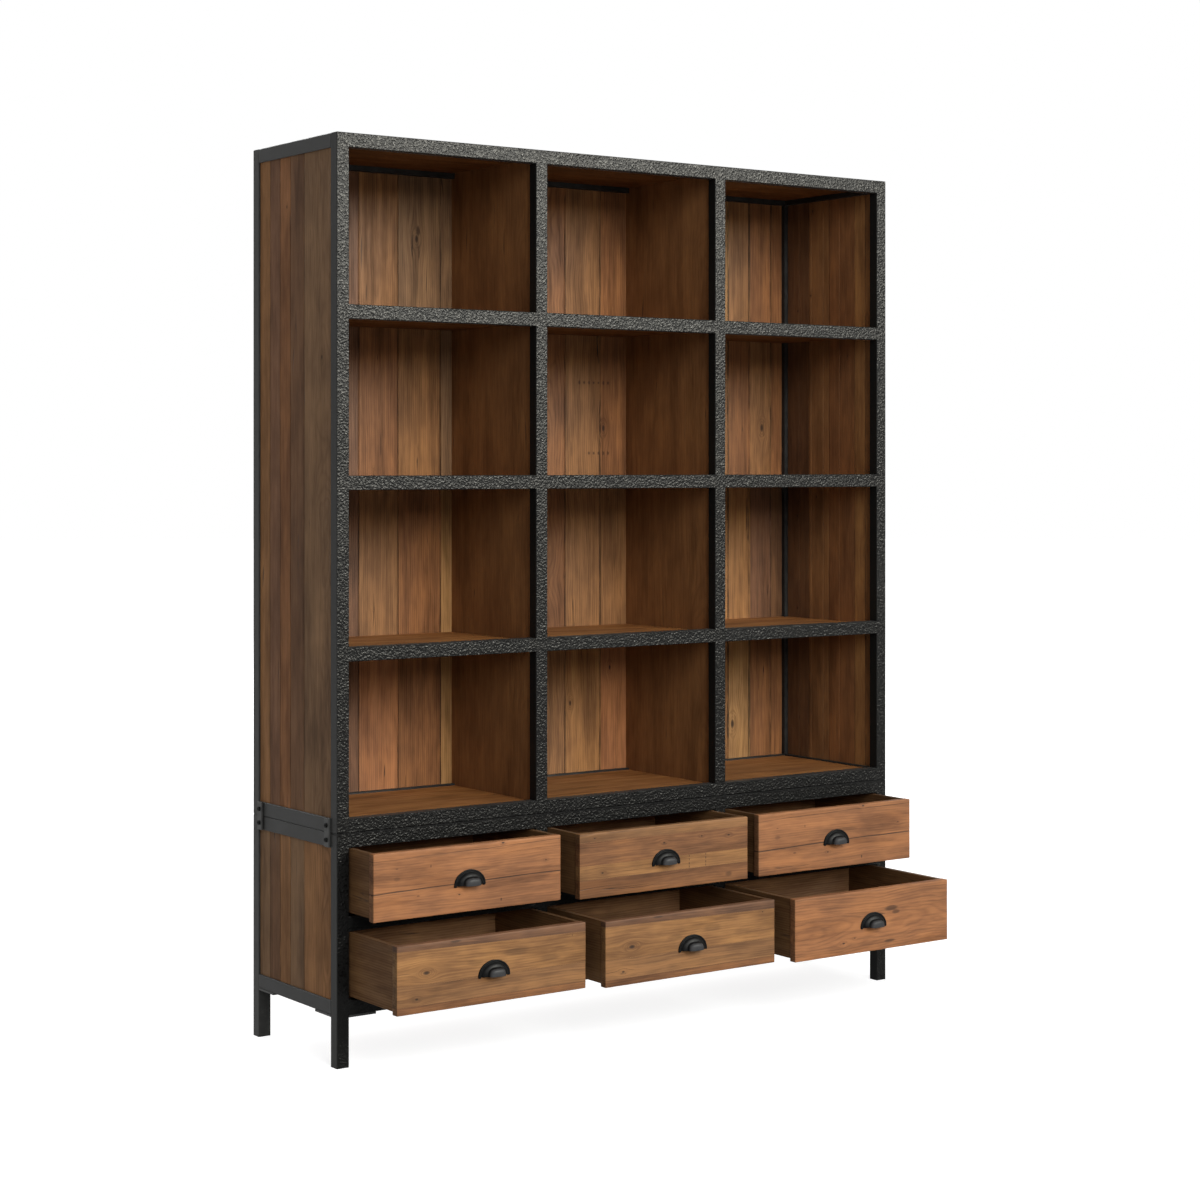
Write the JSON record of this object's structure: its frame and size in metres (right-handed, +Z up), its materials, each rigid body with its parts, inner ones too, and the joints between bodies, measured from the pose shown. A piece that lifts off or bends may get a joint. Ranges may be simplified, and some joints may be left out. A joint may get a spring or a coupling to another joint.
{
  "type": "bookcase with bottom drawers",
  "caption": "Tall bookcase of welded steel tube with plank shelves, back and sides, on a base with legs and plank drawers with cast cup pulls.",
  "frame": {"origin": "on the floor, under the middle of the box around the bookcase with its drawers open as at rest", "axes": "+Z up; +Y to the back, the drawers open toward -Y; +X to the right of someone who faces the drawers"},
  "size_m": [1.68, 0.706, 2.13],
  "materials": {
    "frame_steel": "hammered dark grey paint",
    "plate_steel": "dark grey, satin",
    "case_wood": "dark reddish brown, waxed",
    "side_wood": "reclaimed planks, dark brown, waxed",
    "back_wood": "reclaimed planks, orange brown, waxed",
    "drawer_front_wood": "reclaimed planks, worn, orange brown",
    "drawer_box_wood": "dark brown, matt",
    "pull_iron": "black, satin"
  },
  "bodies": {
    "case": {"upper_front_frame": "frame_steel", "upper_rear_frame": "frame_steel", "base_front_frame": "frame_steel", "base_rear_frame": "frame_steel", "upper_top_side_rail_left": "frame_steel", "upper_bottom_side_rail_left": "frame_steel", "base_top_side_rail_left": "frame_steel", "base_bottom_side_rail_left": "frame_steel", "upper_top_side_rail_right": "frame_steel", "upper_bottom_side_rail_right": "frame_steel", "base_top_side_rail_right": "frame_steel", "base_bottom_side_rail_right": "frame_steel", "corner_plate_front_left": "plate_steel", "joining_bracket_front_left": "plate_steel", "corner_plate_rear_left": "plate_steel", "joining_bracket_rear_left": "plate_steel", "corner_plate_front_right": "plate_steel", "joining_bracket_front_right": "plate_steel", "corner_plate_rear_right": "plate_steel", "joining_bracket_rear_right": "plate_steel", "upper_top_board": "case_wood", "upper_floor_board": "case_wood", "base_floor_board": "case_wood", "shelf_1": "case_wood", "shelf_2": "case_wood", "shelf_3": "case_wood", "divider_1": "case_wood", "divider_2": "case_wood", "drawer_divider_1": "case_wood", "drawer_divider_2": "case_wood", "upper_side_panel_left": "side_wood", "base_side_panel_left": "side_wood", "upper_side_panel_right": "side_wood", "base_side_panel_right": "side_wood", "upper_back_panel": "back_wood", "base_back_panel": "back_wood"},
    "drawer_top_left": {"drawer_top_left_front": "drawer_front_wood", "drawer_top_left_box": "drawer_box_wood", "drawer_top_left_bottom": "drawer_box_wood", "drawer_top_left_pull": "pull_iron"},
    "drawer_top_middle": {"drawer_top_middle_front": "drawer_front_wood", "drawer_top_middle_box": "drawer_box_wood", "drawer_top_middle_bottom": "drawer_box_wood", "drawer_top_middle_pull": "pull_iron"},
    "drawer_top_right": {"drawer_top_right_front": "drawer_front_wood", "drawer_top_right_box": "drawer_box_wood", "drawer_top_right_bottom": "drawer_box_wood", "drawer_top_right_pull": "pull_iron"},
    "drawer_bottom_left": {"drawer_bottom_left_front": "drawer_front_wood", "drawer_bottom_left_box": "drawer_box_wood", "drawer_bottom_left_bottom": "drawer_box_wood", "drawer_bottom_left_pull": "pull_iron"},
    "drawer_bottom_middle": {"drawer_bottom_middle_front": "drawer_front_wood", "drawer_bottom_middle_box": "drawer_box_wood", "drawer_bottom_middle_bottom": "drawer_box_wood", "drawer_bottom_middle_pull": "pull_iron"},
    "drawer_bottom_right": {"drawer_bottom_right_front": "drawer_front_wood", "drawer_bottom_right_box": "drawer_box_wood", "drawer_bottom_right_bottom": "drawer_box_wood", "drawer_bottom_right_pull": "pull_iron"}
  },
  "joints": [
    {"name": "drawer_top_left_slide", "type": "slide", "parent": "case", "child": "drawer_top_left", "axis": [0, -1, 0], "range_m": [-0.107, 0.193]},
    {"name": "drawer_top_middle_slide", "type": "slide", "parent": "case", "child": "drawer_top_middle", "axis": [0, -1, 0], "range_m": [-0.133, 0.167]},
    {"name": "drawer_top_right_slide", "type": "slide", "parent": "case", "child": "drawer_top_right", "axis": [0, -1, 0], "range_m": [-0.131, 0.169]},
    {"name": "drawer_bottom_left_slide", "type": "slide", "parent": "case", "child": "drawer_bottom_left", "axis": [0, -1, 0], "range_m": [-0.21, 0.09]},
    {"name": "drawer_bottom_middle_slide", "type": "slide", "parent": "case", "child": "drawer_bottom_middle", "axis": [0, -1, 0], "range_m": [-0.238, 0.062]},
    {"name": "drawer_bottom_right_slide", "type": "slide", "parent": "case", "child": "drawer_bottom_right", "axis": [0, -1, 0], "range_m": [-0.272, 0.028]}
  ]
}
